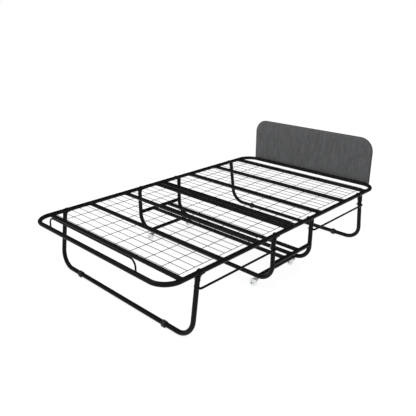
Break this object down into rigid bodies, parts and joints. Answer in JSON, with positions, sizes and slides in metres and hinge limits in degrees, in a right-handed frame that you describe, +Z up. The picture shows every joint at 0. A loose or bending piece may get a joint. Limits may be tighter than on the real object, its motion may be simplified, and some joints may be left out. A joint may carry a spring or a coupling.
{
  "type": "rollaway bed",
  "caption": "Folding rollaway bed with a black tube frame, welded wire deck, linked U-legs, a center trolley on casters and a padded headboard.",
  "frame": {"origin": "on the floor, at the middle of the bed's length and width", "axes": "+Z up, +Y towards the headboard, +X to the right as seen from the foot of the bed"},
  "size_m": [1.215, 2.0348, 0.692],
  "materials": {
    "black_powder_coat": "satin powder coat",
    "mesh_wire_coat": "satin powder coat",
    "black_plastic": "moulded, matt",
    "black_rubber": "matt",
    "blackened_rivet": "semi-gloss",
    "zinc_steel": "zinc plated",
    "headboard_fabric": "woven, vertical slub",
    "headboard_board": "plain board, behind the fabric",
    "caster_plastic": "semi-gloss"
  },
  "bodies": {
    "trolley": {"caster_sockets": "zinc_steel", "cradle_bar_foot": "black_powder_coat", "cradle_bar_head": "black_powder_coat", "cradle_bar_middle": "black_powder_coat", "foot_center_leg": "black_powder_coat", "foot_fold_pins": "blackened_rivet", "foot_fold_yokes": "black_powder_coat", "head_center_leg": "black_powder_coat", "head_fold_pins": "blackened_rivet", "head_fold_yokes": "black_powder_coat", "left_caster_rail": "black_powder_coat", "left_lower_side_bar": "black_powder_coat", "right_caster_rail": "black_powder_coat", "right_lower_side_bar": "black_powder_coat"},
    "foot_deck": {"foot_deck_crossbar_inner": "black_powder_coat", "foot_deck_crossbar_outer": "black_powder_coat", "foot_deck_crossbar_second": "black_powder_coat", "foot_deck_crossbar_third": "black_powder_coat", "foot_deck_frame": "black_powder_coat", "foot_rail_end_plugs": "black_plastic", "foot_wire_mesh": "mesh_wire_coat", "mattress_retainer_hoop": "black_powder_coat"},
    "foot_end_leg_assembly": {"foot_end_leg": "black_powder_coat", "foot_end_leg_yokes": "black_powder_coat", "foot_end_leg_pins": "blackened_rivet", "foot_rubber_feet": "black_rubber"},
    "foot_link": {"foot_link_rod": "black_powder_coat", "foot_link_rod_clips": "zinc_steel"},
    "foot_left_caster_swivel": {"foot_left_caster_fork": "zinc_steel", "foot_left_caster_axle": "zinc_steel"},
    "foot_left_caster_roller": {"foot_left_caster_wheel": "caster_plastic"},
    "foot_right_caster_swivel": {"foot_right_caster_fork": "zinc_steel", "foot_right_caster_axle": "zinc_steel"},
    "foot_right_caster_roller": {"foot_right_caster_wheel": "caster_plastic"},
    "head_deck": {"head_deck_crossbar_inner": "black_powder_coat", "head_deck_crossbar_outer": "black_powder_coat", "head_deck_crossbar_second": "black_powder_coat", "head_deck_crossbar_third": "black_powder_coat", "head_deck_frame": "black_powder_coat", "head_rail_end_plugs": "black_plastic", "head_wire_mesh": "mesh_wire_coat", "headboard_pad": "headboard_fabric", "headboard_panel": "headboard_board", "headboard_bolts": "blackened_rivet"},
    "head_end_leg_assembly": {"head_end_leg": "black_powder_coat", "head_end_leg_yokes": "black_powder_coat", "head_end_leg_pins": "blackened_rivet", "head_rubber_feet": "black_rubber"},
    "head_link": {"head_link_rod": "black_powder_coat", "head_link_rod_clips": "zinc_steel"},
    "head_left_caster_swivel": {"head_left_caster_fork": "zinc_steel", "head_left_caster_axle": "zinc_steel"},
    "head_left_caster_roller": {"head_left_caster_wheel": "caster_plastic"},
    "head_right_caster_swivel": {"head_right_caster_fork": "zinc_steel", "head_right_caster_axle": "zinc_steel"},
    "head_right_caster_roller": {"head_right_caster_wheel": "caster_plastic"}
  },
  "joints": [
    {"name": "foot_deck_fold", "type": "hinge", "parent": "trolley", "child": "foot_deck", "pos_m": [0, -0.1719, 0.3665], "axis": [-1, 0, 0], "range_deg": [0, 88]},
    {"name": "foot_end_leg_fold", "type": "hinge", "parent": "foot_deck", "child": "foot_end_leg_assembly", "pos_m": [0, -0.7649, 0.3665], "axis": [-1, 0, 0], "range_deg": [-88, 0]},
    {"name": "foot_link_swing", "type": "hinge", "parent": "trolley", "child": "foot_link", "pos_m": [0.6065, -0.2057, 0.292], "axis": [-1, 0, 0], "range_deg": [0, 88]},
    {"name": "foot_left_caster_turn", "type": "hinge", "parent": "trolley", "child": "foot_left_caster_swivel", "pos_m": [-0.47, -0.2019, 0.07], "axis": [0, 0, 1], "continuous": true},
    {"name": "foot_left_caster_roll", "type": "hinge", "parent": "foot_left_caster_swivel", "child": "foot_left_caster_roller", "pos_m": [-0.49, -0.2019, 0.025], "axis": [0, 1, 0], "continuous": true},
    {"name": "foot_right_caster_turn", "type": "hinge", "parent": "trolley", "child": "foot_right_caster_swivel", "pos_m": [0.47, -0.2019, 0.07], "axis": [0, 0, 1], "continuous": true},
    {"name": "foot_right_caster_roll", "type": "hinge", "parent": "foot_right_caster_swivel", "child": "foot_right_caster_roller", "pos_m": [0.45, -0.2019, 0.025], "axis": [0, 1, 0], "continuous": true},
    {"name": "head_deck_fold", "type": "hinge", "parent": "trolley", "child": "head_deck", "pos_m": [0, 0.1421, 0.3665], "axis": [1, 0, 0], "range_deg": [0, 88]},
    {"name": "head_end_leg_fold", "type": "hinge", "parent": "head_deck", "child": "head_end_leg_assembly", "pos_m": [0, 0.7347, 0.3665], "axis": [1, 0, 0], "range_deg": [-88, 0]},
    {"name": "head_link_swing", "type": "hinge", "parent": "trolley", "child": "head_link", "pos_m": [0.6065, 0.1759, 0.292], "axis": [1, 0, 0], "range_deg": [0, 88]},
    {"name": "head_left_caster_turn", "type": "hinge", "parent": "trolley", "child": "head_left_caster_swivel", "pos_m": [-0.47, 0.1721, 0.07], "axis": [0, 0, 1], "continuous": true},
    {"name": "head_left_caster_roll", "type": "hinge", "parent": "head_left_caster_swivel", "child": "head_left_caster_roller", "pos_m": [-0.49, 0.1721, 0.025], "axis": [0, 1, 0], "continuous": true},
    {"name": "head_right_caster_turn", "type": "hinge", "parent": "trolley", "child": "head_right_caster_swivel", "pos_m": [0.47, 0.1721, 0.07], "axis": [0, 0, 1], "continuous": true},
    {"name": "head_right_caster_roll", "type": "hinge", "parent": "head_right_caster_swivel", "child": "head_right_caster_roller", "pos_m": [0.45, 0.1721, 0.025], "axis": [0, 1, 0], "continuous": true}
  ],
  "couplings": [
    {"joint": "foot_end_leg_fold", "follows": "foot_deck_fold", "ratio": -1},
    {"joint": "foot_link_swing", "follows": "foot_deck_fold", "ratio": 1},
    {"joint": "head_end_leg_fold", "follows": "head_deck_fold", "ratio": -1},
    {"joint": "head_link_swing", "follows": "head_deck_fold", "ratio": 1}
  ]
}
